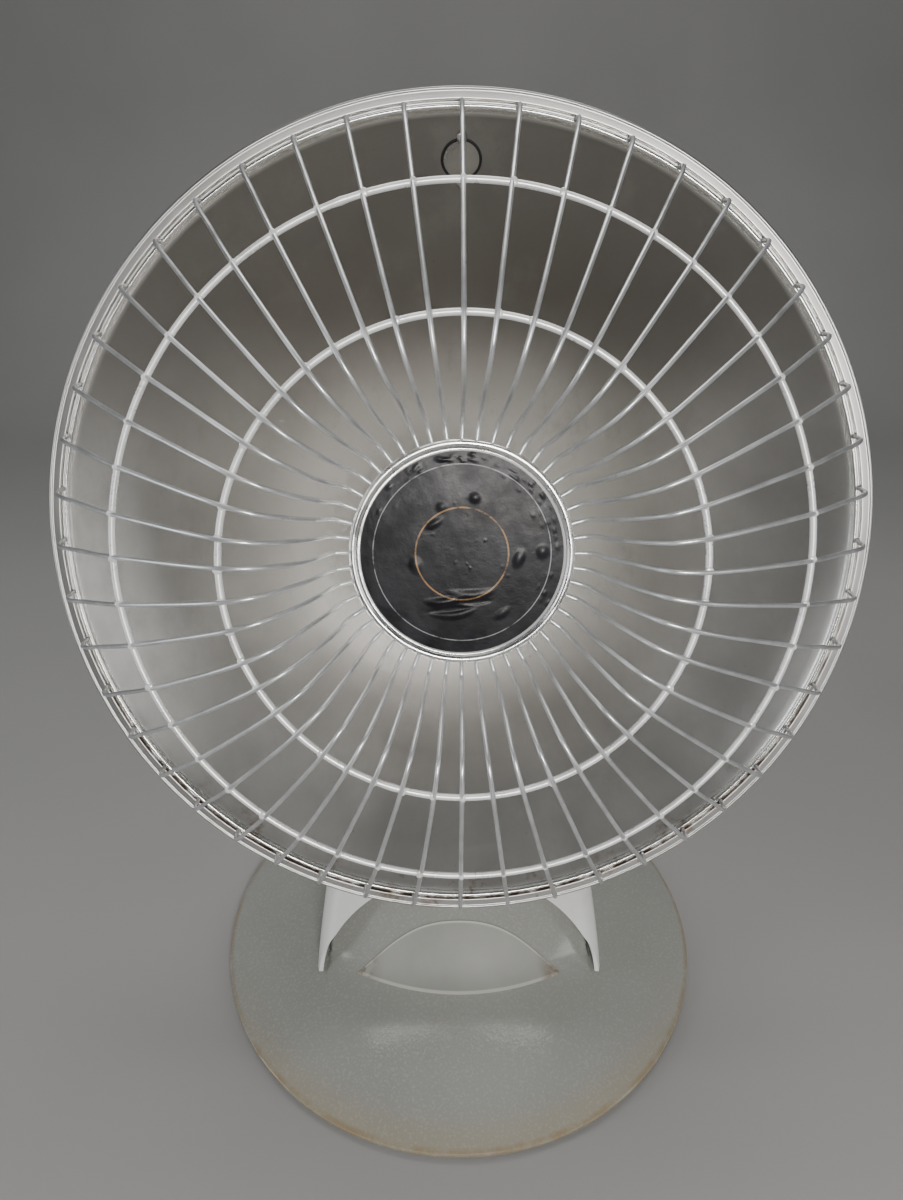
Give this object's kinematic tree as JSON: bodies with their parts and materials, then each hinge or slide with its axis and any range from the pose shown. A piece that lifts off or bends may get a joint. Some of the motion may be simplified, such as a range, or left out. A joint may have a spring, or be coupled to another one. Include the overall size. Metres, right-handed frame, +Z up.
{
  "type": "parabolic dish radiant heater",
  "caption": "Radiant electric heater: a round parabolic reflector with a wire guard and a central cap, on a tilting pedestal with a round lit floor base.",
  "frame": {"origin": "centre of the round base's footprint, on the floor", "axes": "+Z up, -Y towards the front that the dish faces, +X to the viewer's right when facing the dish"},
  "size_m": [0.3939, 0.3, 0.4825],
  "materials": {
    "reflector": "dull spun, lightly smudged",
    "guard_wire": "bright nickel-plated wire",
    "guard_ring": "bright plated wire",
    "cap_metal": "bright rolled edge",
    "cap_label": "glossy black film, bubbled",
    "shield_metal": "satin",
    "element_ceramic": "matt unglazed",
    "heating_wire": "oxidised resistance wire",
    "plated_steel": "zinc plated",
    "thermostat_metal": "satin",
    "bracket_steel": "zinc plated pressed steel",
    "washer_fibre": "fibre washer",
    "white_plastic": "moulded, fine satin",
    "lens_plastic": "milky translucent, fine pebble grain",
    "base_plastic": "moulded, matt",
    "foot_rubber": "matt",
    "ballast_iron": "as cast",
    "lamp_glass": "frosted",
    "lamp_brass": "satin",
    "socket_ceramic": "matt",
    "sticker_film": "clear-grey film, blank",
    "black_plastic": "moulded, matt",
    "spring_steel": "bright",
    "knob_plastic": "moulded, satin",
    "pointer_paint": "painted ridge"
  },
  "bodies": {
    "stand": {"yoke": "white_plastic", "support_column": "bracket_steel", "column_screws": "plated_steel", "pedestal_front": "white_plastic", "pedestal_rear": "white_plastic", "base_lens": "lens_plastic", "base_plate": "base_plastic", "base_screws": "plated_steel", "rubber_feet": "foot_rubber", "ballast": "ballast_iron", "lamp_bulb": "lamp_glass", "lamp_base": "lamp_brass", "lamp_socket": "socket_ceramic", "lamp_door": "base_plastic", "blank_sticker": "sticker_film", "tip_switch_body": "black_plastic", "tip_spring": "spring_steel", "buzzer": "black_plastic", "control_thermostat": "thermostat_metal", "terminal_block": "socket_ceramic", "cord_gland": "black_plastic"},
    "head": {"reflector": "reflector", "guard_wires": "guard_wire", "guard_outer_ring": "guard_ring", "guard_inner_ring": "guard_ring", "guard_hub_ring": "guard_ring", "cap_bezel": "cap_metal", "cap_label": "cap_label", "heat_shield": "shield_metal", "element_former": "element_ceramic", "heating_coil": "heating_wire", "centre_rod": "plated_steel", "element_mount": "plated_steel", "rod_nuts": "plated_steel", "limit_thermostat": "thermostat_metal", "thermostat_rivets": "plated_steel", "trunnion_bracket": "bracket_steel", "bracket_screws": "plated_steel", "pivot_pins": "bracket_steel", "friction_washers": "washer_fibre", "rear_housing": "white_plastic", "housing_screws": "plated_steel"},
    "knob": {"control_knob": "knob_plastic", "knob_pointer": "pointer_paint"},
    "plunger": {"tip_plunger": "black_plastic"}
  },
  "joints": [
    {"name": "head_tilt", "type": "hinge", "parent": "stand", "child": "head", "pos_m": [0, 0.08035, 0.25059], "axis": [1, 0, 0], "range_deg": [-12, 10]},
    {"name": "knob_turn", "type": "hinge", "parent": "stand", "child": "knob", "pos_m": [0, 0.1245, 0.118], "axis": [0, 1, 0], "range_deg": [0, 270]},
    {"name": "plunger_slide", "type": "slide", "parent": "stand", "child": "plunger", "axis": [0, 0, -1], "range_m": [0, 0.005], "stiffness_N_per_m": 120, "springref_m": 0.008, "deforming": ["tip_spring"]}
  ]
}
